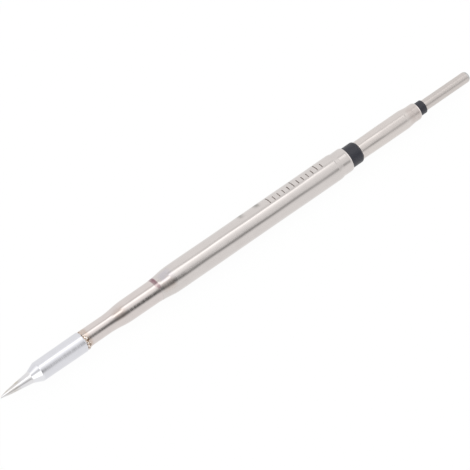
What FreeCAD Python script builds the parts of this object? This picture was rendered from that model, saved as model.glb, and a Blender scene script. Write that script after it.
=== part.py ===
import FreeCAD, Part
import math
import os
import Sketcher

# Soldering iron cartridge, in millimetres.
# Every piece lies on one axis, X: the nose points to -X and the rear contact to +X.
# Outlines are drawn from the nose's point, where the station is 0, and the finished pieces are then
# placed with the origin at the middle of the body's cylinder, where the handle grips it.

Vector = FreeCAD.Vector
FULL_TURN = 360

# Driving sizes, piece by piece: a diameter is an outside one unless its name says bore.
SIZES = [
    # Copper bit: tiny flat point, nose of two cones, shoulder cone, barrel and brazed shank
    ("point_diameter", 0.20),
    ("nose_front_length", 1.70),
    ("nose_front_diameter", 0.94),
    ("nose_length", 5.75),
    ("nose_base_diameter", 2.06),
    ("shoulder_length", 1.83),
    ("barrel_diameter", 3.50),
    ("barrel_length", 8.87),
    ("shank_length", 4.70),
    # Blind pocket for the heater, drilled from the shank's end
    ("pocket_bore", 1.90),
    ("pocket_depth", 11.20),
    ("drill_point_angle", 118),
    # Filler ring at the joint of barrel and neck
    ("braze_height", 0.14),
    ("braze_length", 0.75),
    # Drawn front tube: neck, first flare and waist
    ("sheath_wall", 0.20),
    ("neck_diameter", 3.16),
    ("neck_length", 5.25),
    ("front_flare_length", 3.00),
    ("waist_diameter", 3.88),
    ("waist_length", 6.95),
    # Body tube: short mouth at the weld, second flare, long cylinder and crimped rear end
    ("body_wall", 0.25),
    ("mouth_diameter", 4.04),
    ("mouth_length", 0.70),
    ("rear_flare_length", 2.35),
    ("body_diameter", 4.70),
    ("body_length", 33.80),
    ("crimp_step_length", 1.15),
    ("crimp_diameter", 4.36),
    ("crimp_length", 1.60),
    ("crimp_roll_length", 0.35),
    ("crimp_lip", 0.16),
    # Black bush between body and middle contact; its rounded rim is two cones that meet at the angle
    ("front_ring_diameter", 3.80),
    ("front_ring_length", 2.40),
    ("front_ring_rounding", 0.40),
    ("front_rounding_angle", 45),
    ("front_collar_length", 1.30),
    # Middle contact: barrel, crimped rear end and hollow stem
    ("contact_diameter", 3.40),
    ("contact_length", 9.95),
    ("contact_wall", 0.29),
    ("land_step_length", 1.40),
    ("land_diameter", 3.00),
    ("land_length", 1.15),
    ("land_roll_length", 0.35),
    ("land_lip", 0.18),
    ("stem_diameter", 2.36),
    ("stem_bore", 1.70),
    ("stem_length", 10.10),
    # Black bush between middle and rear contact
    ("rear_ring_diameter", 2.40),
    ("rear_ring_length", 1.41),
    ("rear_ring_rounding", 0.25),
    ("rear_collar_length", 2.90),
    # Rear contact: pin with a chamfered end, and a spigot bored for its lead
    ("pin_diameter", 1.94),
    ("pin_length", 9.69),
    ("pin_chamfer_length", 0.50),
    ("pin_chamfer_depth", 0.45),
    ("spigot_diameter", 1.04),
    ("socket_depth", 2.50),
    # Heater: ceramic liner, bobbin, ribbon winding and closing cap
    ("liner_wall", 0.15),
    ("cap_length", 1.00),
    ("core_diameter", 1.10),
    ("core_bore", 0.50),
    ("winding_gap", 0.60),
    ("winding_pitch", 1.85),
    ("winding_turns", 4),
    ("ribbon_width", 0.75),
    ("ribbon_thickness", 0.12),
    # Two leads, rolled flat, each with a pair of bends between straight stretches
    ("lead_width", 0.34),
    ("lead_clearance", 0.06),
    ("lead_straight", 0.30),
    ("bead_diameter", 0.44),
    # Twin-bore ceramic tube, the ring that centres its rear end and the sleeve in the stem
    ("twin_clearance", 0.04),
    ("twin_bore", 0.50),
    ("twin_bore_pitch", 1.00),
    ("front_wiring_gap", 1.95),
    ("rear_wiring_gap", 4.00),
    ("ring_length", 3.00),
    ("ring_setback", 1.20),
    ("sleeve_bore", 0.50),
    ("sleeve_overhang", 0.60),
]

# Stations along the axis, from the nose's point to the rear, each worked out from those before it.
STATIONS = [
    ("nose_break", "Size.nose_front_length"),
    ("nose_rear", "Size.nose_length"),
    ("barrel_front", "Place.nose_rear + Size.shoulder_length"),
    ("barrel_rear", "Place.barrel_front + Size.barrel_length"),
    ("braze_rear", "Place.barrel_rear + Size.braze_length"),
    ("shank_rear", "Place.barrel_rear + Size.shank_length"),
    ("neck_rear", "Place.barrel_rear + Size.neck_length"),
    ("waist_front", "Place.neck_rear + Size.front_flare_length"),
    ("weld", "Place.waist_front + Size.waist_length"),
    ("mouth_rear", "Place.weld + Size.mouth_length"),
    ("body_front", "Place.mouth_rear + Size.rear_flare_length"),
    ("body_middle", "Place.body_front + Size.body_length / 2"),
    ("body_rear", "Place.body_front + Size.body_length"),
    ("crimp_front", "Place.body_rear + Size.crimp_step_length"),
    ("crimp_rear", "Place.crimp_front + Size.crimp_length"),
    ("tube_end", "Place.crimp_rear + Size.crimp_roll_length"),
    ("front_collar_front", "Place.body_rear - Size.front_collar_length"),
    ("contact_front", "Place.tube_end + Size.front_ring_length"),
    ("front_rounding_front", "Place.contact_front - Size.front_ring_rounding"),
    ("front_rounding_middle",
     "Place.contact_front - Size.front_ring_rounding * (1 - sin(Size.front_rounding_angle))"),
    ("stem_front", "Place.contact_front - Size.stem_length"),
    ("contact_rear", "Place.contact_front + Size.contact_length"),
    ("land_front", "Place.contact_rear + Size.land_step_length"),
    ("land_rear", "Place.land_front + Size.land_length"),
    ("contact_end", "Place.land_rear + Size.land_roll_length"),
    ("rear_collar_front", "Place.contact_rear - Size.rear_collar_length"),
    ("pin_front", "Place.contact_end + Size.rear_ring_length"),
    ("rear_rounding_front", "Place.pin_front - Size.rear_ring_rounding"),
    ("pin_rear", "Place.pin_front + Size.pin_length"),
    ("pin_chamfer_front", "Place.pin_rear - Size.pin_chamfer_length"),
    ("socket_rear", "Place.rear_collar_front + Size.socket_depth"),
    ("pocket_front", "Place.shank_rear - Size.pocket_depth"),
    ("pocket_point", "Place.pocket_front - Place.pocket_radius / tan(Size.drill_point_angle / 2)"),
    ("bead_rear", "Place.pocket_point + Place.bead_radius / tan(Size.drill_point_angle / 2)"),
    ("cap_front", "Place.shank_rear - Size.cap_length"),
    ("winding_front", "Place.pocket_front + Size.winding_gap"),
    ("first_turn_rear", "Place.winding_front + Size.ribbon_width"),
    ("winding_rear", "Place.first_turn_rear + Size.winding_turns * Size.winding_pitch"),
    ("twin_front", "Place.shank_rear + Size.front_wiring_gap"),
    ("twin_rear", "Place.stem_front - Size.rear_wiring_gap"),
    ("front_bend_start", "Place.shank_rear + Size.lead_straight"),
    ("front_bend_end", "Place.twin_front - Size.lead_straight"),
    ("rear_bend_start", "Place.twin_rear + Size.lead_straight"),
    ("sleeve_front", "Place.stem_front - Size.sleeve_overhang"),
    ("rear_bend_end", "Place.sleeve_front - Size.lead_straight"),
    ("ring_rear", "Place.twin_rear - Size.ring_setback"),
    ("ring_front", "Place.ring_rear - Size.ring_length"),
]

# Radii and offsets from the axis: what fits in another piece takes that piece's own value.
RADII = [
    ("point_radius", "Size.point_diameter / 2"),
    ("nose_break_radius", "Size.nose_front_diameter / 2"),
    ("nose_base_radius", "Size.nose_base_diameter / 2"),
    ("barrel_radius", "Size.barrel_diameter / 2"),
    ("neck_radius", "Size.neck_diameter / 2"),
    ("neck_bore_radius", "Place.neck_radius - Size.sheath_wall"),
    ("braze_radius", "Place.neck_radius + Size.braze_height"),
    ("pocket_radius", "Size.pocket_bore / 2"),
    ("waist_radius", "Size.waist_diameter / 2"),
    ("waist_bore_radius", "Place.waist_radius - Size.sheath_wall"),
    ("mouth_radius", "Size.mouth_diameter / 2"),
    ("mouth_bore_radius", "Place.mouth_radius - Size.body_wall"),
    ("body_radius", "Size.body_diameter / 2"),
    ("body_bore_radius", "Place.body_radius - Size.body_wall"),
    ("front_ring_radius", "Size.front_ring_diameter / 2"),
    ("front_rounding_radius",
     "Place.front_ring_radius - Size.front_ring_rounding * (1 - cos(Size.front_rounding_angle))"),
    ("front_ring_end_radius", "Place.front_ring_radius - Size.front_ring_rounding"),
    ("crimp_radius", "Size.crimp_diameter / 2"),
    ("crimp_lip_radius", "Place.front_ring_radius + Size.crimp_lip"),
    ("contact_radius", "Size.contact_diameter / 2"),
    ("contact_bore_radius", "Place.contact_radius - Size.contact_wall"),
    ("rear_ring_radius", "Size.rear_ring_diameter / 2"),
    ("rear_ring_end_radius", "Place.rear_ring_radius - Size.rear_ring_rounding"),
    ("land_radius", "Size.land_diameter / 2"),
    ("land_lip_radius", "Place.rear_ring_radius + Size.land_lip"),
    ("stem_radius", "Size.stem_diameter / 2"),
    ("stem_bore_radius", "Size.stem_bore / 2"),
    ("pin_radius", "Size.pin_diameter / 2"),
    ("pin_end_radius", "Place.pin_radius - Size.pin_chamfer_depth"),
    ("spigot_radius", "Size.spigot_diameter / 2"),
    ("lead_hole_radius", "(Size.lead_width + Size.lead_clearance) / 2"),
    ("bead_radius", "Size.bead_diameter / 2"),
    ("liner_bore_radius", "Place.pocket_radius - Size.liner_wall"),
    ("core_radius", "Size.core_diameter / 2"),
    ("core_bore_radius", "Size.core_bore / 2"),
    ("winding_radius", "Place.core_radius + Size.ribbon_thickness"),
    ("winding_lead_offset", "Place.core_radius + Size.ribbon_thickness / 2"),
    ("twin_radius", "Place.neck_bore_radius - Size.twin_clearance / 2"),
    ("twin_bore_radius", "Size.twin_bore / 2"),
    ("heater_bore_offset", "Size.twin_bore_pitch / 2"),
    ("sensor_bore_offset", "-Size.twin_bore_pitch / 2"),
    ("stem_weld_offset", "-(Place.stem_radius + Place.stem_bore_radius) / 2"),
    ("sleeve_bore_radius", "Size.sleeve_bore / 2"),
]

# Names for zero, along the axis and away from it
POINT = "point"
AXIS = "axis"

# The ways to run from one point of an outline to the next
STRAIGHT = "a straight line"
FLARE = "two equal tangent arcs that start and end parallel to the axis"

doc = FreeCAD.newDocument("SolderingTip")
size = doc.addObject("Spreadsheet::Sheet", "Size")
for row, (alias, number) in enumerate(SIZES, 1):
    size.set(f"A{row}", str(number))
    size.setAlias(f"A{row}", alias)
doc.recompute()

place = doc.addObject("App::VarSet", "Place")
for group, rows in (("Stations", STATIONS), ("Radii", RADII)):
    for name, _ in rows:
        place.addProperty("App::PropertyFloat", name, group)
for name, formula in STATIONS + RADII:
    place.setExpression(name, formula)
doc.recompute()


def where(station, radius):
    """The present place of a point that is given by the names of its station and radius."""
    x = 0 if station == POINT else getattr(place, station)
    y = 0 if radius == AXIS else getattr(place, radius)
    return Vector(x, y, 0)


def new_sketch(body, name, role):
    """Empty sketch on one of the body's own origin planes."""
    sketch = body.newObject("Sketcher::SketchObject", name)
    plane = next(feature for feature in body.Origin.OriginFeatures if feature.Role == role)
    sketch.AttachmentSupport = (plane, [""])
    sketch.MapMode = "FlatFace"
    return sketch


def bind(sketch, kind, geometry, end, formula, number):
    """Hold one end of a curve at a distance from the sketch's origin, given by a formula."""
    row = sketch.addConstraint(Sketcher.Constraint(kind, -1, 1, geometry, end, number))
    sketch.setExpression(f"Constraints[{row}]", formula)


def pin(sketch, geometry, end, station, radius):
    """Hold one end of a curve at its named station and radius."""
    spot = where(station, radius)
    if station == POINT:
        sketch.addConstraint(Sketcher.Constraint("PointOnObject", geometry, end, -2))
    else:
        bind(sketch, "DistanceX", geometry, end, f"Place.{station}", spot.x)
    if radius == AXIS:
        sketch.addConstraint(Sketcher.Constraint("PointOnObject", geometry, end, -1))
    else:
        bind(sketch, "DistanceY", geometry, end, f"Place.{radius}", spot.y)


def add_level_arc(sketch, first, last, station):
    """Arc from first to last that is parallel to the axis at a station, where its centre is too.

    Gives the arc's number, then the end that is met first on the way and the end that is met last.
    """
    centre_x = getattr(place, station)
    across = (last.x - centre_x) ** 2 - (first.x - centre_x) ** 2
    centre_y = (across + last.y ** 2 - first.y ** 2) / (2 * (last.y - first.y))
    centre = Vector(centre_x, centre_y, 0)
    circle = Part.Circle(centre, Vector(0, 0, 1), (first - centre).Length)
    first_angle = math.atan2(first.y - centre.y, first.x - centre.x)
    last_angle = math.atan2(last.y - centre.y, last.x - centre.x)
    anticlockwise = (first - centre).cross(last - centre).z > 0
    if anticlockwise:
        arc = sketch.addGeometry(Part.ArcOfCircle(circle, first_angle, last_angle))
    else:
        arc = sketch.addGeometry(Part.ArcOfCircle(circle, last_angle, first_angle))
    bind(sketch, "DistanceX", arc, 3, f"Place.{station}", centre_x)
    return (arc, 1, 2) if anticlockwise else (arc, 2, 1)


def add_run(sketch, start, stop, way):
    """Draw one run of an outline and give its first and last curve, each with its ends in order."""
    first = where(*start)
    last = where(*stop)
    if way == FLARE:
        middle = (first + last) / 2
        rise = add_level_arc(sketch, first, middle, start[0])
        settle = add_level_arc(sketch, middle, last, stop[0])
        sketch.addConstraint(Sketcher.Constraint("Tangent", rise[0], rise[2], settle[0], settle[1]))
        sketch.addConstraint(Sketcher.Constraint("Equal", rise[0], settle[0]))
        return rise, settle
    line = (sketch.addGeometry(Part.LineSegment(first, last)), 1, 2)
    return line, line


def join(sketch, before, after):
    sketch.addConstraint(Sketcher.Constraint("Coincident", before[0], before[2], after[0], after[1]))


def draw(body, name, points, closed=True):
    """Sketch that joins points in a plane through the axis.

    A point is a station, a radius and, where it isn't straight, the way to it from the point before.
    """
    sketch = new_sketch(body, name, "XY_Plane")
    spots = [point[:2] for point in points]
    ways = [point[2] if len(point) > 2 else STRAIGHT for point in points]
    stops = list(zip(spots, ways))[1:]
    if closed:
        stops.append((spots[0], ways[0]))
    runs = []
    here = spots[0]
    for stop, way in stops:
        runs.append(add_run(sketch, here, stop, way))
        here = stop
    for (_, before), (after, _) in zip(runs, runs[1:]):
        join(sketch, before, after)
    for spot, (curve, _) in zip(spots, runs):
        pin(sketch, curve[0], curve[1], *spot)
    last_curve = runs[-1][1]
    if closed:
        join(sketch, last_curve, runs[0][0])
    else:
        pin(sketch, last_curve[0], last_curve[2], *spots[-1])
    return sketch


def new_body(name):
    """Empty piece, placed so that the origin is at the middle of the body tube's cylinder."""
    body = doc.addObject("PartDesign::Body", name)
    body.Label = name
    body.setExpression("Placement.Base.x", "-Place.body_middle")
    return body


def turn(body, feature, name, points):
    """Turn a closed outline about the axis, to add metal or to bore it away."""
    sketch = draw(body, f"{name}_outline", points)
    turned = body.newObject(feature, name)
    turned.Profile = sketch
    turned.ReferenceAxis = (sketch, ["H_Axis"])
    turned.Angle = FULL_TURN


def turned_piece(name, points):
    body = new_body(name)
    turn(body, "PartDesign::Revolution", f"{name}_turning", points)
    return body


def tube_piece(name, front, rear, bore, outside):
    """Plain tube or ring between two stations."""
    return turned_piece(name, [(front, bore), (front, outside), (rear, outside), (rear, bore)])


def bored_rod(name, front, rear, circles):
    """Rod with lengthwise bores: circles gives an offset and a radius for its outside, then each bore."""
    body = new_body(name)
    sketch = new_sketch(body, f"{name}_section", "YZ_Plane")
    sketch.setExpression("AttachmentOffset.Base.z", f"Place.{front}")
    for offset, radius in circles:
        centre = Vector(where(POINT, offset).y, 0, 0)
        radius_now = getattr(place, radius)
        circle = sketch.addGeometry(Part.Circle(centre, Vector(0, 0, 1), radius_now))
        sketch.addConstraint(Sketcher.Constraint("PointOnObject", circle, 3, -1))
        if offset == AXIS:
            sketch.addConstraint(Sketcher.Constraint("PointOnObject", circle, 3, -2))
        else:
            bind(sketch, "DistanceX", circle, 3, f"Place.{offset}", centre.x)
        row = sketch.addConstraint(Sketcher.Constraint("Radius", circle, radius_now))
        sketch.setExpression(f"Constraints[{row}]", f"Place.{radius}")
    rod = body.newObject("PartDesign::Pad", f"{name}_length")
    rod.Profile = sketch
    rod.setExpression("Length", f"Place.{rear} - Place.{front}")
    return body


def lead_section(body, name, station, offset):
    """Rectangle across the axis at a station: the rolled strip of a lead, flat side to the axis."""
    sketch = new_sketch(body, name, "YZ_Plane")
    sketch.setExpression("AttachmentOffset.Base.z", f"Place.{station}")
    middle = where(POINT, offset).y
    middle_formula = "0" if offset == AXIS else f"Place.{offset}"
    half_thickness = size.ribbon_thickness / 2
    half_width = size.lead_width / 2
    turns = [(-1, -1), (1, -1), (1, 1), (-1, 1)]
    corners = [Vector(middle + out * half_thickness, side * half_width, 0) for out, side in turns]
    for number, corner in enumerate(corners):
        sketch.addGeometry(Part.LineSegment(corner, corners[(number + 1) % 4]))
    for number, (out, side) in enumerate(turns):
        join(sketch, (number, 1, 2), ((number + 1) % 4, 1, 2))
        across = f"{middle_formula} + {out} * Size.ribbon_thickness / 2"
        bind(sketch, "DistanceX", number, 1, across, corners[number].x)
        bind(sketch, "DistanceY", number, 1, f"{side} * Size.lead_width / 2", corners[number].y)
    return sketch


def flat_lead(name, points):
    """Lead rolled flat, along straight stretches joined by tangent bends."""
    body = new_body(name)
    route = draw(body, f"{name}_route", points, closed=False)
    section = lead_section(body, f"{name}_section", *points[0][:2])
    strip = body.newObject("PartDesign::AdditivePipe", f"{name}_strip")
    strip.Profile = section
    strip.Spine = route
    return body


def make_solder_bit():
    """Nose, shoulder and barrel turned in one with the shank, then drilled for the heater."""
    body = turned_piece("solder_bit", [
        (POINT, AXIS),
        (POINT, "point_radius"),
        ("nose_break", "nose_break_radius"),
        ("nose_rear", "nose_base_radius"),
        ("barrel_front", "barrel_radius"),
        ("barrel_rear", "barrel_radius"),
        ("barrel_rear", "neck_bore_radius"),
        ("shank_rear", "neck_bore_radius"),
        ("shank_rear", AXIS),
    ])
    turn(body, "PartDesign::Groove", "heater_pocket", [
        ("pocket_point", AXIS),
        ("pocket_front", "pocket_radius"),
        ("shank_rear", "pocket_radius"),
        ("shank_rear", AXIS),
    ])
    return body


def make_braze_ring():
    """Filler drawn into the corner between the barrel's end and the neck."""
    return turned_piece("braze_ring", [
        ("barrel_rear", "neck_radius"),
        ("barrel_rear", "braze_radius"),
        ("braze_rear", "neck_radius"),
    ])


def make_front_sheath():
    """Thin tube with a stepped bore, brazed on the shank and butted to the body tube at the weld."""
    return turned_piece("front_sheath", [
        ("barrel_rear", "neck_radius"),
        ("neck_rear", "neck_radius"),
        ("waist_front", "waist_radius"),
        ("weld", "waist_radius"),
        ("weld", "waist_bore_radius"),
        ("waist_front", "waist_bore_radius"),
        ("waist_front", "neck_bore_radius"),
        ("barrel_rear", "neck_bore_radius"),
    ])


def make_body_tube():
    """Long tube, flared up from the weld, its rear end crimped and rolled down on the black bush."""
    return turned_piece("body_tube", [
        ("weld", "mouth_radius"),
        ("mouth_rear", "mouth_radius"),
        ("body_front", "body_radius"),
        ("body_rear", "body_radius"),
        ("crimp_front", "crimp_radius"),
        ("crimp_rear", "crimp_radius"),
        ("tube_end", "crimp_lip_radius"),
        ("tube_end", "front_ring_radius"),
        ("body_rear", "front_ring_radius"),
        ("body_rear", "body_bore_radius"),
        ("body_front", "body_bore_radius"),
        ("body_front", "mouth_bore_radius"),
        ("weld", "mouth_bore_radius"),
    ])


def make_front_insulator():
    """Black bush: a collar ahead of the crimp, the part that it grips and the ring that shows."""
    return turned_piece("front_insulator", [
        ("front_collar_front", "stem_radius"),
        ("front_collar_front", "body_bore_radius"),
        ("body_rear", "body_bore_radius"),
        ("body_rear", "front_ring_radius"),
        ("front_rounding_front", "front_ring_radius"),
        ("front_rounding_middle", "front_rounding_radius"),
        ("contact_front", "front_ring_end_radius"),
        ("contact_front", "stem_radius"),
    ])


def make_middle_contact():
    """Contact barrel with a stem through the front bush and a rear end crimped on the rear bush."""
    return turned_piece("middle_contact", [
        ("stem_front", "stem_bore_radius"),
        ("stem_front", "stem_radius"),
        ("contact_front", "stem_radius"),
        ("contact_front", "contact_radius"),
        ("contact_rear", "contact_radius"),
        ("land_front", "land_radius"),
        ("land_rear", "land_radius"),
        ("contact_end", "land_lip_radius"),
        ("contact_end", "rear_ring_radius"),
        ("contact_rear", "rear_ring_radius"),
        ("contact_rear", "contact_bore_radius"),
        ("rear_collar_front", "contact_bore_radius"),
        ("rear_collar_front", "stem_bore_radius"),
    ])


def make_rear_insulator():
    """Small black bush, shaped as the front one, with a bore that grips the spigot."""
    return turned_piece("rear_insulator", [
        ("rear_collar_front", "spigot_radius"),
        ("rear_collar_front", "contact_bore_radius"),
        ("contact_rear", "contact_bore_radius"),
        ("contact_rear", "rear_ring_radius"),
        ("rear_rounding_front", "rear_ring_radius"),
        ("pin_front", "rear_ring_end_radius"),
        ("pin_front", "spigot_radius"),
    ])


def make_rear_contact():
    """Rear pin with a chamfered end and a spigot, which is bored at its front end for the lead."""
    return turned_piece("rear_contact", [
        ("rear_collar_front", "lead_hole_radius"),
        ("rear_collar_front", "spigot_radius"),
        ("pin_front", "spigot_radius"),
        ("pin_front", "pin_radius"),
        ("pin_chamfer_front", "pin_radius"),
        ("pin_rear", "pin_end_radius"),
        ("pin_rear", AXIS),
        ("socket_rear", AXIS),
        ("socket_rear", "lead_hole_radius"),
    ])


def make_heater_coil():
    """Resistance ribbon wound on the ceramic core as a helix of even pitch."""
    body = new_body("heater_coil")
    ribbon = draw(body, "ribbon_section", [
        ("winding_front", "core_radius"),
        ("winding_front", "winding_radius"),
        ("first_turn_rear", "winding_radius"),
        ("first_turn_rear", "core_radius"),
    ])
    winding = body.newObject("PartDesign::AdditiveHelix", "winding")
    winding.Profile = ribbon
    winding.ReferenceAxis = (ribbon, ["H_Axis"])
    winding.Mode = "pitch-turns-angle"
    winding.setExpression("Pitch", "Size.winding_pitch")
    winding.setExpression("Turns", "Size.winding_turns")
    return body


def make_sensor_lead():
    """Thermocouple lead: its bead fills the pocket's drill point, its rear end is welded to the stem."""
    body = flat_lead("sensor_lead", [
        ("bead_rear", AXIS),
        ("front_bend_start", AXIS),
        ("front_bend_end", "sensor_bore_offset", FLARE),
        ("rear_bend_start", "sensor_bore_offset"),
        ("rear_bend_end", "stem_weld_offset", FLARE),
        ("stem_front", "stem_weld_offset"),
    ])
    turn(body, "PartDesign::Revolution", "sensor_bead", [
        ("pocket_point", AXIS),
        ("bead_rear", "bead_radius"),
        ("bead_rear", AXIS),
    ])
    return body


def make_heater_lead():
    """Lead from the winding's last turn, through the twin-bore tube and the sleeve, to the spigot."""
    return flat_lead("heater_lead", [
        ("winding_rear", "winding_lead_offset"),
        ("front_bend_start", "winding_lead_offset"),
        ("front_bend_end", "heater_bore_offset", FLARE),
        ("rear_bend_start", "heater_bore_offset"),
        ("rear_bend_end", AXIS, FLARE),
        ("socket_rear", AXIS),
    ])


def make_ceramics():
    """Ceramic pieces that carry the winding and keep the leads apart from the metal."""
    return [
        tube_piece("heater_core", "pocket_front", "cap_front", "core_bore_radius", "core_radius"),
        tube_piece("heater_liner", "pocket_front", "cap_front", "liner_bore_radius", "pocket_radius"),
        bored_rod("heater_cap", "cap_front", "shank_rear", [
            (AXIS, "pocket_radius"),
            (AXIS, "lead_hole_radius"),
            ("winding_lead_offset", "lead_hole_radius"),
        ]),
        bored_rod("lead_insulator", "twin_front", "twin_rear", [
            (AXIS, "twin_radius"),
            ("heater_bore_offset", "twin_bore_radius"),
            ("sensor_bore_offset", "twin_bore_radius"),
        ]),
        tube_piece("centring_ring", "ring_front", "ring_rear", "twin_radius", "body_bore_radius"),
        tube_piece("centre_sleeve", "sleeve_front", "rear_collar_front",
                   "sleeve_bore_radius", "stem_bore_radius"),
    ]


pieces = [
    make_solder_bit(),
    make_braze_ring(),
    make_front_sheath(),
    make_body_tube(),
    make_front_insulator(),
    make_middle_contact(),
    make_rear_insulator(),
    make_rear_contact(),
    make_heater_coil(),
    make_sensor_lead(),
    make_heater_lead(),
]
pieces += make_ceramics()
doc.recompute()

for item in doc.Objects:
    if "Invalid" in item.State or "Error" in item.State:
        raise RuntimeError(f"{item.Label} could not be made: {item.State}")
for item in doc.findObjects("Sketcher::SketchObject"):
    if not item.FullyConstrained:
        raise RuntimeError(f"{item.Label} is not fully constrained")
for piece in pieces:
    shape = piece.Shape
    if shape.isNull() or not shape.isValid() or len(shape.Solids) != 1:
        raise RuntimeError(f"{piece.Label} is not one valid solid")

os.makedirs("parts", exist_ok=True)
for piece in pieces:
    piece.Shape.exportStep(os.path.join("parts", f"{piece.Label}.step"))
    print(f"{piece.Label}: {piece.Shape.Volume:.3f} cubic mm")
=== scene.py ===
import math

import bpy
import numpy as np
from mathutils import Euler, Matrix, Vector


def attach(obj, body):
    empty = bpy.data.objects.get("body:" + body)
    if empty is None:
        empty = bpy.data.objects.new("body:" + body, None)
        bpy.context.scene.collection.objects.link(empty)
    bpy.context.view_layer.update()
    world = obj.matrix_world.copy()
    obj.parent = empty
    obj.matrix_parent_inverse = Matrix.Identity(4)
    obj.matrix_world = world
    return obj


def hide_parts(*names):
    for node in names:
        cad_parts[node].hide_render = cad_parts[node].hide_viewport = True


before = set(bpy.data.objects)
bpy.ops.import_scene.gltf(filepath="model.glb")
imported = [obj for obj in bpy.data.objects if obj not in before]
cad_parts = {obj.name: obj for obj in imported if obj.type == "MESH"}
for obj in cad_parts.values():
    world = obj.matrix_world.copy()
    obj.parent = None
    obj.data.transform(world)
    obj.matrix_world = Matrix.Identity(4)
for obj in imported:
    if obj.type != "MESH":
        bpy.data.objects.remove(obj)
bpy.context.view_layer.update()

# Lengths are in millimetres
MM = 0.001


def measured(node):
    """Where a CAD node begins and ends along X, and its radius."""
    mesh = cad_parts[node].data
    places = np.empty(3 * len(mesh.vertices))
    mesh.vertices.foreach_get("co", places)
    x, y, z = places.reshape(-1, 3).T / MM
    return x.min().item(), x.max().item(), np.hypot(y, z).max().item()


# A station is a distance along the axis from the nose's point. The frame's origin is at the middle
# of the body's cylinder, which is BODY_MIDDLE from that point.
BODY_MIDDLE = round(-measured("solder_bit")[0], 2)
BODY_RADIUS = round(measured("body_tube")[2], 2)


def ends(node):
    """Stations where a CAD node begins and ends, to a hundredth of a millimetre."""
    return [round(x + BODY_MIDDLE, 2) for x in measured(node)[:2]]


# Stations where pieces end or meet, from the CAD nodes. The heater's liner stands on the floor of
# the bit's pocket, with the sensor's bead in its drill point, and the heater's lead ends at the
# floor of the pin's socket. Faces that would touch in one plane stand GAP apart.
SHANK_END = ends("solder_bit")[1]
POCKET_FLOOR, DRILL_POINT = ends("heater_liner")[0], ends("sensor_lead")[0]
FILLER_END = ends("braze_ring")[1]
BARREL_END, WELD = ends("front_sheath")
BODY_END = ends("body_tube")[1]
FRONT_BUSH_START, FRONT_BUSH_END = ends("front_insulator")
STEM_START, CONTACT_END = ends("middle_contact")
REAR_BUSH_START, REAR_BUSH_END = ends("rear_insulator")
SOCKET_FLOOR, PIN_END = ends("heater_lead")[1], ends("rear_contact")[1]
GAP = 0.01

# The bushes are bored to the stem and the spigot that they sit on
STEM_RADIUS, SPIGOT_RADIUS = 1.18, 0.52


def linear(code):
    """sRGB hex to linear RGBA: a channel is divided by 12.92 when dark, else raised to 2.4."""
    channels = np.array([int(code[i:i + 2], 16) for i in (1, 3, 5)]) / 255
    curved = ((channels + 0.055) / 1.055) ** 2.4
    return (*np.where(channels <= 0.04045, channels / 12.92, curved).tolist(), 1.0)


def add(tree, kind, settings=None, inputs=None, stops=None):
    """Add a node with its settings, its inputs (values or other nodes' sockets) and ramp stops."""
    node = tree.nodes.new(kind)
    for name, value in (settings or {}).items():
        setattr(node, name, value)
    for name, value in (inputs or {}).items():
        if isinstance(value, bpy.types.NodeSocket):
            tree.links.new(value, node.inputs[name])
        else:
            node.inputs[name].default_value = value
    if stops:
        ramp = node.color_ramp.elements
        while len(ramp) < len(stops):
            ramp.new(0.5)
        for element, (position, colour) in zip(ramp, stops):
            element.position = position
            element.color = colour
    return node


# Shapes

# Points of an outline closer than this are one
SAME_POINT = 1e-5


def bent_outline(corners, step=0.2, bend=9, guard=0.01):
    """Outline through corners: each a station, a radius and how far its bend reaches each way.

    A bend is the parabola that is tangent to both sides. Between bends the line is cut into even
    steps, with one more row close to each end, which keeps the bend's smooth shading off the line.
    """
    corners = np.array(corners, float)
    spots, reach = corners[:, :2], corners[:, 2:]
    sides = np.diff(spots, axis=0)
    ways = sides / np.linalg.norm(sides, axis=1, keepdims=True)
    starts = spots.copy()
    ends = spots.copy()
    starts[1:] -= ways * reach[1:]
    ends[:-1] += ways * reach[:-1]
    t = np.linspace(0, 1, bend)[:, None]
    rows = [spots[:1]]
    for spot, start, end, before in zip(spots[1:], starts[1:], ends[1:], ends[:-1]):
        length = np.linalg.norm(start - before)
        along = np.linspace(0, 1, max(2, int(length / step) + 1))
        if length > 4 * guard:
            along = np.sort(np.concatenate((along, [guard / length, 1 - guard / length])))
        rows.append(before + (start - before) * along[1:, None])
        rows.append(((1 - t) ** 2 * start + 2 * t * (1 - t) * spot + t ** 2 * end)[1:])
    outline = np.vstack(rows)
    apart = np.linalg.norm(np.diff(outline, axis=0), axis=1) > SAME_POINT
    return outline[np.concatenate(([True], apart))]


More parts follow.
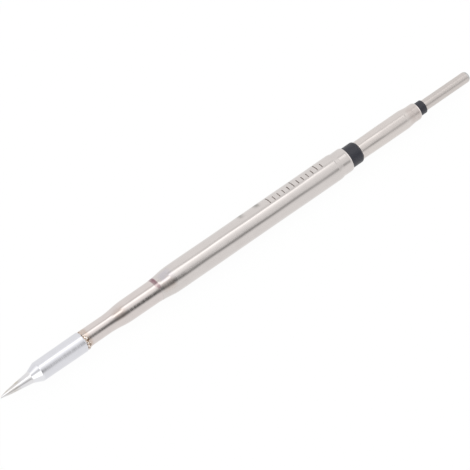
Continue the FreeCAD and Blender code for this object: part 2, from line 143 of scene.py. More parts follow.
def turned(name, outline, ripples, around=144, off=(0, 0)):
    """Surface of an outline turned about the axis, closed to itself or at a pole at each end.

    A point is at (station, r sin a, r cos a), where a runs once round. A ripple is a height,
    lobes, a length and a phase, and takes half of height * (1 - cos(lobes a + 2 pi station /
    length + phase)) off the radius. A piece that was joined a hair off the axis stands away from
    it by off, in Y and Z.
    """
    closed = outline[0, 1] > 0
    if closed and np.allclose(outline[0], outline[-1], atol=SAME_POINT):
        outline = outline[:-1]
    station, radius = outline[:, :1], outline[:, 1:]
    angle = np.linspace(0, 2 * np.pi, around, endpoint=False)[None, :]
    away = radius + 0 * angle
    for height, lobes, length, phase in ripples:
        away -= height * (1 - np.cos(lobes * angle + 2 * np.pi * station / length + phase)) / 2
    away = np.where(radius > 0, away, 0)
    along = station - BODY_MIDDLE + 0 * away
    points = np.stack([along, away * np.sin(angle), away * np.cos(angle)], 2)
    points = (points.reshape(-1, 3) + (0, *off)) * MM

    rows = len(outline)
    here = np.arange(rows if closed else rows - 1)[:, None]
    beside = np.arange(around)[None, :]
    after, next_to = (here + 1) % rows, (beside + 1) % around
    corners = [row * around + column for row, column in (
        (here, beside), (after, beside), (after, next_to), (here, next_to))]
    quads = np.stack(np.broadcast_arrays(*corners), 2).reshape(-1, 4)
    if closed:
        return surface(name, points, quads)

    # Each end row shrinks to its first point, and the rest of that row is dropped
    last = (rows - 1) * around
    quads = np.where(quads < around, 0, quads)
    quads = np.where(quads >= last, last, quads)
    keep = np.concatenate(([0], np.arange(around, last + 1)))
    number = np.zeros(len(points), int)
    number[keep] = np.arange(len(keep))
    return surface(name, points[keep], number[quads])


def surface(name, points, quads):
    """Smooth mesh object of points and quads; a quad with two equal corners is a triangle."""
    first = quads[:, 0] == quads[:, 3]
    second = quads[:, 1] == quads[:, 2]
    faces = quads[~first & ~second].tolist()
    faces += quads[first][:, :3].tolist() + quads[second][:, [0, 1, 3]].tolist()
    mesh = bpy.data.meshes.new(name)
    mesh.from_pydata(points.tolist(), [], faces)
    mesh.polygons.foreach_set("use_smooth", np.ones(len(faces), bool))
    mesh.update()
    piece = bpy.data.objects.new(name, mesh)
    bpy.context.scene.collection.objects.link(piece)
    return piece


# Tubes and turned bars are never quite round: lobes round the axis make their highlights waver
TUBE_RIPPLES = [(0.026, 2, 47.0, 0.4), (0.012, 3, -19.0, 1.9), (0.006, 5, 9.5, 0.0)]
NECK_RIPPLES = [(0.016, 2, 31.0, 2.2), (0.006, 3, -12.0, 0.7), (0.001, 4, 6.1, 1.0)]
BAR_RIPPLES = [(0.004, 2, 23.0, 0.0), (0.002, 3, 7.0, 1.0)]
FILLER_RIPPLES = [(0.050, 7, 1.1, 0.0), (0.040, 11, -0.9, 1.0), (0.030, 17, 0.7, 2.0)]

# The bit and its filler sit lower than the neck, towards the front
BRAZED_OFF = (-0.09, -0.045)

# Point, nose cone, shoulder and barrel; then the shank, and its pocket back to the axis
bit = turned("plated_bit", bent_outline([
    (0.00, 0.00, 0.00), (0.02, 0.15, 0.05), (1.70, 0.48, 0.60), (5.88, 1.035, 0.25),
    (7.56, 1.745, 0.15), (BARREL_END, 1.79, 0.22),
    (BARREL_END, 1.38, 0.02), (SHANK_END, 1.38, 0.05), (SHANK_END, 0.95, 0.02),
    (POCKET_FLOOR, 0.95, 0.05), (DRILL_POINT, 0.00, 0.00)]), BAR_RIPPLES, off=BRAZED_OFF)

filler = turned("braze_fillet", bent_outline([
    (BARREL_END + GAP, 1.56, 0.00), (BARREL_END + GAP, 1.72, 0.03), (16.78, 1.71, 0.14),
    (FILLER_END, 1.59, 0.08), (17.19, 1.56, 0.01), (BARREL_END + GAP, 1.56, 0.00)],
    step=0.04), FILLER_RIPPLES, around=288, off=BRAZED_OFF)

# Neck, flare, waist and the rise to the weld; then the bore
sheath = turned("front_tube", bent_outline([
    (BARREL_END, 1.42, 0.00), (BARREL_END, 1.595, 0.03), (21.45, 1.585, 0.01),
    (22.35, 1.612, 0.85), (24.55, 1.895, 0.75), (25.35, 1.919, 0.01), (30.95, 1.945, 0.02),
    (WELD, 1.99, 0.01),
    (WELD, 1.74, 0.03), (24.70, 1.70, 0.80), (21.70, 1.38, 0.60), (BARREL_END, 1.38, 0.02),
    (BARREL_END, 1.42, 0.00)]), NECK_RIPPLES)

# Weld, flare, long cylinder and crimp; then the bore
body = turned("long_tube", bent_outline([
    (WELD + GAP, 1.80, 0.00), (WELD + GAP, 1.995, 0.01), (32.20, 2.033, 0.30),
    (34.15, 2.288, 0.15), (34.90, 2.33, 0.02), (36.40, 2.345, 0.60), (69.05, 2.335, 0.35),
    (69.62, 2.185, 0.12), (71.32, 2.185, 0.16), (BODY_END, 2.06, 0.11),
    (BODY_END, 1.91, 0.02), (69.50, 1.91, 0.20), (68.40, 2.10, 0.20), (34.70, 2.10, 0.90),
    (32.20, 1.77, 0.20), (WELD + GAP, 1.77, 0.02), (WELD + GAP, 1.80, 0.00)]), TUBE_RIPPLES)

# Collar inside the crimp and the ring that is seen; then the bore
front_bush = turned("front_bush", bent_outline([
    (FRONT_BUSH_START, 1.30, 0.00), (FRONT_BUSH_START, 2.09, 0.10), (68.40, 2.09, 0.15),
    (69.40, 1.90, 0.15), (FRONT_BUSH_END, 1.90, 0.42),
    (FRONT_BUSH_END, STEM_RADIUS, 0.02), (FRONT_BUSH_START, STEM_RADIUS, 0.05),
    (FRONT_BUSH_START, 1.30, 0.00)]), BAR_RIPPLES)

# Stem, barrel and crimp; then the bore
contact = turned("contact_barrel", bent_outline([
    (STEM_START, 0.95, 0.00), (STEM_START, STEM_RADIUS, 0.06),
    (FRONT_BUSH_END + GAP, STEM_RADIUS, 0.02), (FRONT_BUSH_END + GAP, 1.66, 0.14),
    (76.00, 1.665, 0.60), (78.50, 1.695, 0.80), (83.95, 1.70, 0.25), (85.30, 1.52, 0.18),
    (86.55, 1.52, 0.16), (CONTACT_END, 1.38, 0.10),
    (CONTACT_END, 1.21, 0.02), (84.90, 1.21, 0.20), (83.70, 1.41, 0.20),
    (REAR_BUSH_START, 1.41, 0.05), (REAR_BUSH_START, 0.85, 0.02), (STEM_START, 0.85, 0.05),
    (STEM_START, 0.95, 0.00)]), BAR_RIPPLES)

# Collar inside the crimp and the ring that is seen; then the bore
rear_bush = turned("rear_bush", bent_outline([
    (REAR_BUSH_START, 0.70, 0.00), (REAR_BUSH_START, 1.40, 0.10), (83.70, 1.40, 0.15),
    (84.85, 1.20, 0.15), (REAR_BUSH_END, 1.20, 0.26),
    (REAR_BUSH_END, SPIGOT_RADIUS, 0.02), (REAR_BUSH_START, SPIGOT_RADIUS, 0.03),
    (REAR_BUSH_START, 0.70, 0.00)]), BAR_RIPPLES)

# Socket for the lead, spigot and pin
rear_pin = turned("contact_pin", bent_outline([
    (SOCKET_FLOOR, 0.00, 0.00), (SOCKET_FLOOR, 0.20, 0.02), (REAR_BUSH_START, 0.20, 0.02),
    (REAR_BUSH_START, SPIGOT_RADIUS, 0.04), (REAR_BUSH_END + GAP, SPIGOT_RADIUS, 0.02),
    (REAR_BUSH_END + GAP, 0.97, 0.05), (PIN_END, 0.97, 0.75), (PIN_END, 0.00, 0.00)]),
    BAR_RIPPLES)


# Finishes


def new_finish(name):
    """Empty material, its node tree and the surface's own place in millimetres."""
    material = bpy.data.materials.new(name)
    material.use_nodes = True
    tree = material.node_tree
    tree.nodes.clear()
    place = add(tree, "ShaderNodeTexCoord").outputs["Object"]
    scaled = add(tree, "ShaderNodeVectorMath", {"operation": "SCALE"}, {0: place, "Scale": 1 / MM})
    return material, tree, scaled.outputs["Vector"]


def turning_lines(tree, place, spacing, stretch=0.25):
    """Noise drawn out round the axis: fine lines across X, as a tool or a wheel leaves them."""
    mapped = add(tree, "ShaderNodeMapping", {"vector_type": "POINT"}, {
        "Vector": place, "Scale": (1 / spacing, stretch, stretch)})
    return add(tree, "ShaderNodeTexNoise", {}, {
        "Vector": mapped.outputs["Vector"], "Scale": 1.0, "Detail": 2.0,
        "Roughness": 0.6}).outputs["Fac"]


def band(tree, place, station, half_width, fade):
    """1 within half_width of a station on the axis, fading smoothly to 0 over the fade."""
    x = add(tree, "ShaderNodeSeparateXYZ", {}, {"Vector": place}).outputs["X"]
    off = add(tree, "ShaderNodeMath", {"operation": "SUBTRACT"}, {0: x, 1: station - BODY_MIDDLE})
    away = add(tree, "ShaderNodeMath", {"operation": "ABSOLUTE"}, {0: off.outputs["Value"]})
    return add(tree, "ShaderNodeMapRange", {"interpolation_type": "SMOOTHSTEP"}, {
        "Value": away.outputs["Value"], "From Min": half_width, "From Max": half_width + fade,
        "To Min": 1.0, "To Max": 0.0}).outputs["Result"]


def facing(tree, place, degrees, least, most):
    """1 where the surface looks away from the axis at an angle from the top towards -Y.

    It fades by the cosine of the angle from there, from the most down to 0 at the least.
    """
    flat = add(tree, "ShaderNodeVectorMath", {"operation": "MULTIPLY"}, {0: place, 1: (0, 1, 1)})
    out = add(tree, "ShaderNodeVectorMath", {"operation": "NORMALIZE"}, {
        0: flat.outputs["Vector"]})
    side = (0, -math.sin(math.radians(degrees)), math.cos(math.radians(degrees)))
    dot = add(tree, "ShaderNodeVectorMath", {"operation": "DOT_PRODUCT"}, {
        0: out.outputs["Vector"], 1: side})
    return add(tree, "ShaderNodeMapRange", {"interpolation_type": "SMOOTHSTEP"}, {
        "Value": dot.outputs["Value"], "From Min": least, "From Max": most}).outputs["Result"]


# A noise's Scale counts its patches in a millimetre, as a surface's place is in millimetres. A
# metal's colour wanders over patches of some 1.4 mm, and its gloss by a fifth with its lines.
# A tint is weakest, at TINT_LEAST of its strength, where its noise is below the lower end. What
# is etched is oxidised brown, and rougher than the steel.
PATCHES_PER_MM = 0.7
GLOSS_LEAST, GLOSS_MOST = 0.8, 1.2
TINT_NOISE_LOW, TINT_NOISE_HIGH, TINT_LEAST = 0.35, 0.62, 0.45
ETCHED, ETCHED_ROUGHNESS = "#5E514B", 0.55


def metal(name, pale, deep, roughness, spread, spacing, line_depth, tints=(), etching=None):
    """Bare metal: colour mottled between two tones, fine lines round the axis, and heat tints.

    The lines scatter light along the axis, which spread gives as anisotropy. A tint is a station,
    a half width, a fade, a colour, how strong it is, the size of its patches, and the side where
    it is strongest with the cosines, least and most, between which it fades out from there.
    Etching is a function that gives the share of the surface that is etched.
    """
    material, tree, place = new_finish(name)
    mottle = add(tree, "ShaderNodeTexNoise", {}, {
        "Vector": place, "Scale": PATCHES_PER_MM, "Detail": 3.0})
    colour = add(tree, "ShaderNodeMix", {"data_type": "RGBA"}, {
        "Factor": mottle.outputs["Fac"], "A": linear(deep), "B": linear(pale)}).outputs["Result"]
    for station, half_width, fade, tint, strength, patch, side in tints:
        patches = add(tree, "ShaderNodeTexNoise", {}, {
            "Vector": place, "Scale": 1 / patch, "Detail": 3.0})
        uneven = add(tree, "ShaderNodeMapRange", {}, {
            "Value": patches.outputs["Fac"], "From Min": TINT_NOISE_LOW,
            "From Max": TINT_NOISE_HIGH, "To Min": TINT_LEAST * strength, "To Max": strength})
        share = add(tree, "ShaderNodeMath", {"operation": "MULTIPLY"}, {
            0: band(tree, place, station, half_width, fade), 1: uneven.outputs["Result"]})
        if side is not None:
            share = add(tree, "ShaderNodeMath", {"operation": "MULTIPLY"}, {
                0: share.outputs["Value"], 1: facing(tree, place, *side)})
        colour = add(tree, "ShaderNodeMix", {"data_type": "RGBA"}, {
            "Factor": share.outputs["Value"], "A": colour, "B": linear(tint)}).outputs["Result"]
    lines = turning_lines(tree, place, spacing)
    gloss = add(tree, "ShaderNodeMapRange", {}, {
        "Value": lines, "From Min": 0.3, "From Max": 0.7, "To Min": GLOSS_LEAST * roughness,
        "To Max": GLOSS_MOST * roughness}).outputs["Result"]
    if etching is not None:
        share = etching(tree, place)
        colour = add(tree, "ShaderNodeMix", {"data_type": "RGBA"}, {
            "Factor": share, "A": colour, "B": linear(ETCHED)}).outputs["Result"]
        gloss = add(tree, "ShaderNodeMix", {"data_type": "FLOAT"}, {
            "Factor": share, "A": gloss, "B": ETCHED_ROUGHNESS}).outputs["Result"]
    bump = add(tree, "ShaderNodeBump", {}, {
        "Height": lines, "Strength": 1.0, "Distance": line_depth * MM})
    round_axis = add(tree, "ShaderNodeTangent", {"direction_type": "RADIAL", "axis": "X"})
    shader = add(tree, "ShaderNodeBsdfPrincipled", {}, {
        "Base Color": colour, "Metallic": 1.0, "Roughness": gloss,
        "Normal": bump.outputs["Normal"], "Tangent": round_axis.outputs["Tangent"],
        "Anisotropic": spread, "Anisotropic Rotation": 0.25})
    add(tree, "ShaderNodeOutputMaterial", {}, {"Surface": shader.outputs["BSDF"]})
    return material


# A plain scale etched by laser on the body's upper side: 12 lines 1 mm apart, every fifth one
# longer. A row of lines is its pitch, its count, and where its middle is and half its length
# across the axis, as arcs from the top towards -Y. Wear leaves WORN to FRESH of it.
SCALE_START = 55.6 - BODY_MIDDLE
SCALE_ROWS = [(1.0, 12, -0.60, 0.50), (5.0, 3, -1.00, 0.90)]
HALF_LINE = 0.085
WORN, FRESH = 0.55, 0.95
WORN_SPOTS_PER_MM = 3.0


def etched_scale(tree, place):
    """Share of the surface that is etched: high on the scale's lines, uneven where it is worn."""
    split = add(tree, "ShaderNodeSeparateXYZ", {}, {"Vector": place})
    x = split.outputs["X"]
    forward = add(tree, "ShaderNodeMath", {"operation": "MULTIPLY"}, {
        0: split.outputs["Y"], 1: -1.0})
    angle = add(tree, "ShaderNodeMath", {"operation": "ARCTAN2"}, {
        0: forward.outputs["Value"], 1: split.outputs["Z"]})
    arc = add(tree, "ShaderNodeMath", {"operation": "MULTIPLY"}, {
        0: angle.outputs["Value"], 1: BODY_RADIUS})
    shares = []
    for pitch, count, middle, half_length in SCALE_ROWS:
        along = add(tree, "ShaderNodeMath", {"operation": "WRAP"}, {
            0: x, 1: SCALE_START - pitch / 2, 2: SCALE_START + pitch / 2})
        line = add(tree, "ShaderNodeMath", {"operation": "COMPARE"}, {
            0: along.outputs["Value"], 1: SCALE_START, 2: HALF_LINE})
        row = add(tree, "ShaderNodeMath", {"operation": "COMPARE"}, {
            0: x, 1: SCALE_START + pitch * (count - 1) / 2, 2: pitch * (count - 0.5) / 2})
        high = add(tree, "ShaderNodeMath", {"operation": "COMPARE"}, {
            0: arc.outputs["Value"], 1: middle, 2: half_length})
        in_row = add(tree, "ShaderNodeMath", {"operation": "MULTIPLY"}, {
            0: line.outputs["Value"], 1: row.outputs["Value"]})
        shares.append(add(tree, "ShaderNodeMath", {"operation": "MULTIPLY"}, {
            0: in_row.outputs["Value"], 1: high.outputs["Value"]}).outputs["Value"])
    etched = add(tree, "ShaderNodeMath", {"operation": "MAXIMUM"}, {0: shares[0], 1: shares[1]})
    worn = add(tree, "ShaderNodeTexNoise", {}, {
        "Vector": place, "Scale": WORN_SPOTS_PER_MM, "Detail": 2.0})
    depth = add(tree, "ShaderNodeMapRange", {}, {
        "Value": worn.outputs["Fac"], "From Min": 0.3, "From Max": 0.6, "To Min": WORN,
        "To Max": FRESH})
    return add(tree, "ShaderNodeMath", {"operation": "MULTIPLY"}, {
        0: etched.outputs["Value"], 1: depth.outputs["Result"]}).outputs["Value"]


# Chromium over iron plating on copper, polished before it is plated: cool white, with broad
# bright lights. Its real lines are some 0.02 mm apart, too fine to show, and are drawn 0.15 mm
# apart. The nose is a little warmer, with straw from its heat on the upper and lower sides.
chromium = metal(
    "chromium_plate", "#DEDEE3", "#D7D7DB", roughness=0.06, spread=0.50, spacing=0.15,
    line_depth=0.00005, tints=[
        (2.9, 2.9, 0.4, "#E4E2E2", 1.0, 9.0, None),
        # Painted reflection: the shoulder's front and lower side is painted lighter
        (6.8, 0.6, 0.5, "#EAEAEC", 1.0, 9.0, (90, 0.2, 0.8)),
        (2.3, 0.9, 1.5, "#B3A78F", 0.75, 0.7, (-60, 0.2, 0.9)),
        (2.3, 0.5, 1.2, "#AFA48E", 0.40, 0.3, (75, 0.2, 0.9))])

# Silver brazing filler run into the corner and oxidised by the flame: straw to brown, in lumps of
# some 0.4 mm. Their noise is taken FILLER_MOVE away, where dark and pale ones are well mixed.
FILLER_MOVE = (0, 0, 9)
LUMPS_PER_MM = 2.4
filler_finish, tree, place = new_finish("oxidised_braze_filler")
moved = add(tree, "ShaderNodeVectorMath", {"operation": "ADD"}, {0: place, 1: FILLER_MOVE})
blotches = add(tree, "ShaderNodeTexNoise", {}, {
    "Vector": moved.outputs["Vector"], "Scale": LUMPS_PER_MM, "Detail": 3.0, "Roughness": 0.6})
tint = add(tree, "ShaderNodeValToRGB", {}, {"Fac": blotches.outputs["Fac"]}, stops=[
    (0.41, linear("#5C4636")), (0.48, linear("#B89C84")), (0.55, linear("#F2ECE6"))])
bump = add(tree, "ShaderNodeBump", {}, {
    "Height": blotches.outputs["Fac"], "Strength": 1.0, "Distance": 0.05 * MM})
shader = add(tree, "ShaderNodeBsdfPrincipled", {}, {
    "Base Color": tint.outputs["Color"], "Metallic": 1.0, "Roughness": 0.32,
    "Normal": bump.outputs["Normal"]})
add(tree, "ShaderNodeOutputMaterial", {}, {"Surface": shader.outputs["BSDF"]})

# The weld left a purple band on both tubes that it joins. It is strong on the upper side, and a
# narrow streak of it lies below the highlight.
WELD_TINT = "#94727A"
WELD_UPPER, WELD_LOWER = (-45, 0.2, 0.9), (21, 0.978, 0.996)

# Drawn stainless tube, bright: warm grey with a clear highlight, straw where it was brazed and
# flared, purple at the weld. The marks of its drawing are 0.30 mm apart here, where the real ones
# are ten times finer.
sheath_finish = metal(
    "drawn_stainless_tube", "#D9D1CE", "#D0C8C5", roughness=0.07, spread=0.30, spacing=0.30,
    line_depth=0.00005, tints=[
        (16.60, 0.65, 0.7, "#B89C82", 0.45, 0.5, None),
        (23.70, 0.50, 1.1, "#BFA596", 0.40, 0.35, (18, 0.75, 1.0)),
        (WELD, 0.34, 0.20, WELD_TINT, 0.95, 2.5, WELD_UPPER),
        (WELD, 0.14, 0.16, WELD_TINT, 0.70, 2.5, WELD_LOWER)])

# Centreless-ground stainless tube, nearly bright: fine lines round it, drawn coarser than the
# real 0.03 mm, lilac and straw where the weld warmed it, and two faint stains from handling on
# its upper side.
STAIN, STAIN_SIDE = "#918E8A", (-58, 0.72, 1.0)
body_finish = metal(
    "ground_stainless_tube", "#D6D0CD", "#CFC9C6", roughness=0.10, spread=0.50, spacing=0.22,
    line_depth=0.0001, tints=[
        (WELD, 0.20, 0.22, WELD_TINT, 0.95, 2.5, WELD_UPPER),
        (WELD, 0.26, 0.22, WELD_TINT, 0.72, 2.5, WELD_LOWER),
        (33.70, 0.60, 1.0, "#B9B6C6", 0.40, 0.6, (-8, 0.80, 1.0)),
        (33.30, 0.70, 0.9, "#B79F90", 0.35, 0.35, (36, 0.80, 1.0)),
        (50.35, 0.05, 0.80, STAIN, 1.0, 0.6, STAIN_SIDE),
        (53.55, 0.10, 0.85, STAIN, 1.0, 0.6, STAIN_SIDE)],
    etching=etched_scale)

# Turned nickel-plated contacts: satin, a shade duller than the tube, and browned at the crimp by
# its tool. The pin's rounded end is painted darker grey: painted shade on it. Their lines are
# drawn
# 0.20 mm apart for a real 0.05 mm.
contact_finish = metal(
    "turned_nickel_plate", "#D8D1CD", "#D1CAC6", roughness=0.13, spread=0.50, spacing=0.20,
    line_depth=0.0002, tints=[(85.60, 0.70, 0.8, "#B5A6A0", 0.4, 0.6, (40, 0.2, 0.9))])
pin_finish = metal(
    "turned_nickel_pin", "#D0C9C5", "#C9C2BE", roughness=0.18, spread=0.50, spacing=0.20,
    # Painted shade: the pin's rounded end is painted darker grey
    line_depth=0.0002, tints=[(98.05, 0.20, 0.55, "#95999B", 1.0, 2.5, None)])

# Glass-filled nylon, moulded: nearly black and matte, its skin pitted by the mould. The pits are
# drawn coarser than the real ones, of which a millimetre has some 20.
PITS_PER_MM = 6.0
nylon, tree, place = new_finish("moulded_black_nylon")
pits = add(tree, "ShaderNodeTexNoise", {}, {
    "Vector": place, "Scale": PITS_PER_MM, "Detail": 4.0, "Roughness": 0.6})
tone = add(tree, "ShaderNodeMix", {"data_type": "RGBA"}, {
    "Factor": pits.outputs["Fac"], "A": linear("#121320"), "B": linear("#1C1D2A")})
gloss = add(tree, "ShaderNodeMapRange", {}, {
    "Value": pits.outputs["Fac"], "To Min": 0.34, "To Max": 0.46})
bump = add(tree, "ShaderNodeBump", {}, {
    "Height": pits.outputs["Fac"], "Strength": 1.0, "Distance": 0.008 * MM})
shader = add(tree, "ShaderNodeBsdfPrincipled", {}, {
    "Base Color": tone.outputs["Result"], "Roughness": gloss.outputs["Result"], "IOR": 1.58,
    "Normal": bump.outputs["Normal"]})
add(tree, "ShaderNodeOutputMaterial", {}, {"Surface": shader.outputs["BSDF"]})

# Fired alumina, unglazed: off-white and chalky, with the grain of the pressed powder, which is
# drawn far coarser than the real 0.01 mm
GRAINS_PER_MM = 5.0
alumina, tree, place = new_finish("fired_alumina")
grain = add(tree, "ShaderNodeTexNoise", {}, {
    "Vector": place, "Scale": GRAINS_PER_MM, "Detail": 5.0, "Roughness": 0.7})
tone = add(tree, "ShaderNodeMix", {"data_type": "RGBA"}, {
    "Factor": grain.outputs["Fac"], "A": linear("#DCD7CB"), "B": linear("#EFEBE2")})
bump = add(tree, "ShaderNodeBump", {}, {
    "Height": grain.outputs["Fac"], "Strength": 1.0, "Distance": 0.01 * MM})
shader = add(tree, "ShaderNodeBsdfPrincipled", {}, {
    "Base Color": tone.outputs["Result"], "Roughness": 0.7, "Normal": bump.outputs["Normal"]})
add(tree, "ShaderNodeOutputMaterial", {}, {"Surface": shader.outputs["BSDF"]})

# Heating alloy ribbon, rolled and oxidised grey by its own heat; nickel strip, rolled and left
# bright. Both have lines 0.12 mm apart, coarser than a mill leaves them.
ribbon_finish = metal(
    "oxidised_heating_ribbon", "#8A8680", "#6E6A66", roughness=0.42, spread=0.30, spacing=0.12,
    line_depth=0.0010)
strip_finish = metal(
    "rolled_nickel_strip", "#CFCABB", "#BDB8AA", roughness=0.28, spread=0.30, spacing=0.12,
    line_depth=0.0008)


# Each piece takes its finish, rides on the one body and stands for its CAD node
for piece, finish, node, slot in [
    (bit, chromium, "solder_bit", "plated_copper"),
    (filler, filler_finish, "braze_ring", "braze_filler"),
    (sheath, sheath_finish, "front_sheath", "sheath_steel"),
    (body, body_finish, "body_tube", "body_steel"),
    (front_bush, nylon, "front_insulator", "black_insulator"),
    (contact, contact_finish, "middle_contact", "contact_steel"),
    (rear_bush, nylon, "rear_insulator", "black_insulator"),
    (rear_pin, pin_finish, "rear_contact", "contact_steel"),
]:
    piece.data.materials.append(finish)
    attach(piece, "root")
    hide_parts(node)

# The heater and the wiring stay as the CAD nodes, with finishes of their own
for node, finish in {
    "heater_core": alumina, "heater_liner": alumina, "heater_cap": alumina,
    "lead_insulator": alumina, "centring_ring": alumina, "centre_sleeve": alumina,
    "heater_coil": ribbon_finish, "sensor_lead": strip_finish, "heater_lead": strip_finish,
}.items():
    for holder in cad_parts[node].material_slots:
        holder.material = finish


# Floor, light and camera

# Pale sweep: it takes light and shadow as matte white card. To the camera it shows mostly its own
# white, and to reflections only that, so that a faint shadow stays.
FLOOR_HALF = 2000
CARD_SEEN = 0.96
floor_mesh = bpy.data.meshes.new("floor")
floor_mesh.from_pydata(
    [(x * FLOOR_HALF * MM, y * FLOOR_HALF * MM, -BODY_RADIUS * MM)
     for x, y in [(-1, -1), (1, -1), (1, 1), (-1, 1)]], [], [(0, 1, 2, 3)])
floor = bpy.data.objects.new("floor", floor_mesh)
bpy.context.scene.collection.objects.link(floor)
card = bpy.data.materials.new("white_card")
card.use_nodes = True
tree = card.node_tree
tree.nodes.clear()
ray = add(tree, "ShaderNodeLightPath")
mirrored = add(tree, "ShaderNodeMath", {"operation": "MAXIMUM"}, {
    0: ray.outputs["Is Glossy Ray"], 1: ray.outputs["Is Transmission Ray"]})
seen = add(tree, "ShaderNodeMath", {"operation": "MULTIPLY"}, {
    0: ray.outputs["Is Camera Ray"], 1: CARD_SEEN})
share = add(tree, "ShaderNodeMath", {"operation": "MAXIMUM"}, {
    0: seen.outputs["Value"], 1: mirrored.outputs["Value"]})
matte = add(tree, "ShaderNodeBsdfDiffuse", {}, {"Color": linear("#FAFAFA")})
glow = add(tree, "ShaderNodeEmission", {}, {"Color": linear("#FFFFFF"), "Strength": 1.0})
mixed = add(tree, "ShaderNodeMixShader", {}, {
    0: share.outputs["Value"], 1: matte.outputs["BSDF"], 2: glow.outputs["Emission"]})
add(tree, "ShaderNodeOutputMaterial", {}, {"Surface": mixed.outputs["Shader"]})
floor_mesh.materials.append(card)

# White light tent, in sections along X. In each, brightness runs by the angle from straight up
# towards the front, -Y: brighter cloth at the top, and in most of them a dark slot in front, which
# narrows and fades towards +X. A section is where it begins to take over from the one before and
# where it has, by the direction's part along X; then degrees with levels. Its comment names what
# shows it to the camera.
SECTIONS = [
    # Edges that face the nose
    (None, None, [(-100, 1.22), (100, 1.22)]),
    # The shoulder
    (-0.62, -0.54, [
        (-90, 0.94), (-66, 0.95), (-50, 1.06), (-38, 1.26), (-26, 1.50), (-14, 1.42), (-2, 1.06),
        (8, 0.80), (16, 0.78), (24, 0.94), (34, 1.30), (44, 1.60), (62, 1.62), (74, 1.45),
        (92, 1.32), (128, 1.15)]),
    # The nose's cone, towards the camera
    (-0.28, -0.22, [
        (-60, 1.00), (-30, 1.02), (-14, 1.35), (2, 1.75), (16, 1.40), (30, 1.06), (46, 0.80),
        (60, 0.72), (80, 0.82), (100, 0.96), (125, 1.05)]),
    # Both flares, and the sides of the nose's cone
    (0.015, 0.045, [
        (-30, 0.97), (-20, 0.90), (-13, 1.02), (-7, 1.62), (-1, 2.00), (7, 1.78), (13, 1.18),
        (19, 0.80), (27, 0.56), (36, 0.38), (44, 0.25), (54, 0.20), (60, 0.30), (67, 0.56),
        (75, 0.84), (84, 1.00)]),
    # The gentle ends of the flares
    (0.090, 0.170, [
        (-42, 1.02), (-34, 0.84), (-27, 0.86), (-21, 1.30), (-14, 1.80), (-7, 1.60), (1, 1.36),
        (9, 1.16), (17, 1.00), (25, 0.78), (33, 0.48), (41, 0.27), (50, 0.20), (58, 0.28),
        (66, 0.58), (74, 0.86), (82, 0.98)]),
    # The barrel
    (0.266, 0.275, [
        (-50, 1.02), (-42, 1.05), (-33, 1.16), (-24, 1.46), (-10, 1.54), (0, 1.48), (8, 1.28),
        (16, 1.14), (24, 1.06), (34, 1.04), (42, 1.04), (48, 1.04), (54, 1.02), (60, 0.99),
        (68, 0.95), (80, 0.97), (100, 1.02)]),
    # The neck and the waist
    (0.283, 0.288, [
        (-42, 1.02), (-34, 0.84), (-27, 0.86), (-21, 1.30), (-14, 1.80), (-7, 1.60), (1, 1.36),
        (9, 1.18), (17, 1.08), (23, 0.92), (29, 0.62), (35, 0.31), (41, 0.12), (50, 0.06),
        (57, 0.16), (64, 0.50), (72, 0.82), (80, 0.98)]),
    # The body
    (0.309, 0.315, [
        (-40, 1.02), (-28, 0.86), (-22, 0.90), (-16, 1.60), (-11, 1.88), (-5, 1.48), (2, 1.28),
        (10, 1.14), (20, 1.03), (30, 1.00), (37, 0.98), (43, 0.90), (49, 0.62), (55, 0.40),
        (61, 0.38), (67, 0.66), (74, 0.92), (80, 1.00)]),
    # The middle contact
    (0.364, 0.368, [
        (-36, 1.02), (-27, 0.90), (-18, 0.95), (-10, 1.08), (-3, 1.10), (4, 1.00), (14, 0.97),
        (30, 0.94), (40, 0.90), (48, 0.82), (56, 0.72), (64, 0.70), (72, 0.84), (82, 0.93)]),
    # The pin
    (0.382, 0.388, [
        (-60, 0.99), (-44, 1.03), (-25, 0.95), (-8, 0.82), (10, 0.88), (22, 0.98), (36, 0.94),
        (50, 0.88), (66, 0.80), (78, 0.86), (95, 0.97)]),
    # Both crimps
    (0.46, 0.52, [
        (-30, 1.00), (-16, 1.10), (0, 1.10), (12, 1.00), (30, 0.95), (44, 0.86), (60, 0.72),
        (74, 0.84), (90, 0.98)]),
    # Edges that face the rear
    (0.80, 0.90, [(-100, 1.45), (100, 1.45)]),
]
world = bpy.data.worlds.new("light_tent")
bpy.context.scene.world = world
world.use_nodes = True
tree = world.node_tree
tree.nodes.clear()
direction = add(tree, "ShaderNodeTexCoord")
split = add(tree, "ShaderNodeSeparateXYZ", {}, {"Vector": direction.outputs["Generated"]})
forward = add(tree, "ShaderNodeMath", {"operation": "MULTIPLY"}, {0: split.outputs["Y"], 1: -1.0})
angle = add(tree, "ShaderNodeMath", {"operation": "ARCTAN2"}, {
    0: forward.outputs["Value"], 1: split.outputs["Z"]})
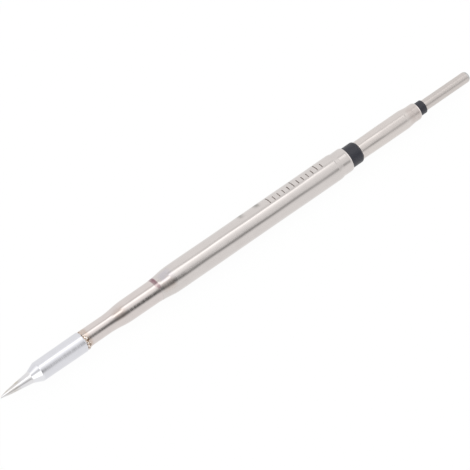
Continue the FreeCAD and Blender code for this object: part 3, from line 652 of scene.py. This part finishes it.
share = add(tree, "ShaderNodeMapRange", {}, {
    "Value": angle.outputs["Value"], "From Min": -math.pi, "From Max": math.pi})
level = None
for begin, full, levels in SECTIONS:
    ramp = add(tree, "ShaderNodeValToRGB", {}, {"Fac": share.outputs["Result"]}, stops=[
        ((degrees + 180) / 360, (grey, grey, grey, 1)) for degrees, grey in levels])
    if level is None:
        level = ramp.outputs["Color"]
        continue
    reach = add(tree, "ShaderNodeMapRange", {"interpolation_type": "SMOOTHSTEP"}, {
        "Value": split.outputs["X"], "From Min": begin, "From Max": full})
    level = add(tree, "ShaderNodeMix", {"data_type": "RGBA"}, {
        "Factor": reach.outputs["Result"], "A": level, "B": ramp.outputs["Color"]
    }).outputs["Result"]
ray = add(tree, "ShaderNodeLightPath")
tent = add(tree, "ShaderNodeBackground", {}, {"Color": level, "Strength": 1.0})
plain = add(tree, "ShaderNodeBackground", {}, {"Color": linear("#FFFFFF"), "Strength": 1.0})
mixed = add(tree, "ShaderNodeMixShader", {}, {
    0: ray.outputs["Is Camera Ray"], 1: tent.outputs["Background"],
    2: plain.outputs["Background"]})
add(tree, "ShaderNodeOutputWorld", {}, {"Surface": mixed.outputs["Shader"]})

# Long lens from above and in front, over the nose's side, so the rear end leans away. It looks
# at the station CAMERA_AIM, moved sideways and up in the picture by CAMERA_SHIFT.
CAMERA_AIM = 48.75
CAMERA_SHIFT = (-0.57, -0.29)
CAMERA_AWAY = 667
CAMERA_HEIGHT, CAMERA_TURN = 58, -39.07
camera_data = bpy.data.cameras.new("camera")
camera_data.sensor_width = 36
camera_data.lens = 314
camera_data.clip_end = 10
camera = bpy.data.objects.new("camera", camera_data)
bpy.context.scene.collection.objects.link(camera)
bpy.context.scene.camera = camera
camera.rotation_euler = Euler((math.radians(90 - CAMERA_HEIGHT), 0, math.radians(CAMERA_TURN)))
turn = camera.rotation_euler.to_matrix()
aim = Vector((CAMERA_AIM - BODY_MIDDLE, 0, 0))
camera.location = (aim + turn @ Vector((*CAMERA_SHIFT, CAMERA_AWAY))) * MM

bpy.context.scene.view_settings.view_transform = "Standard"
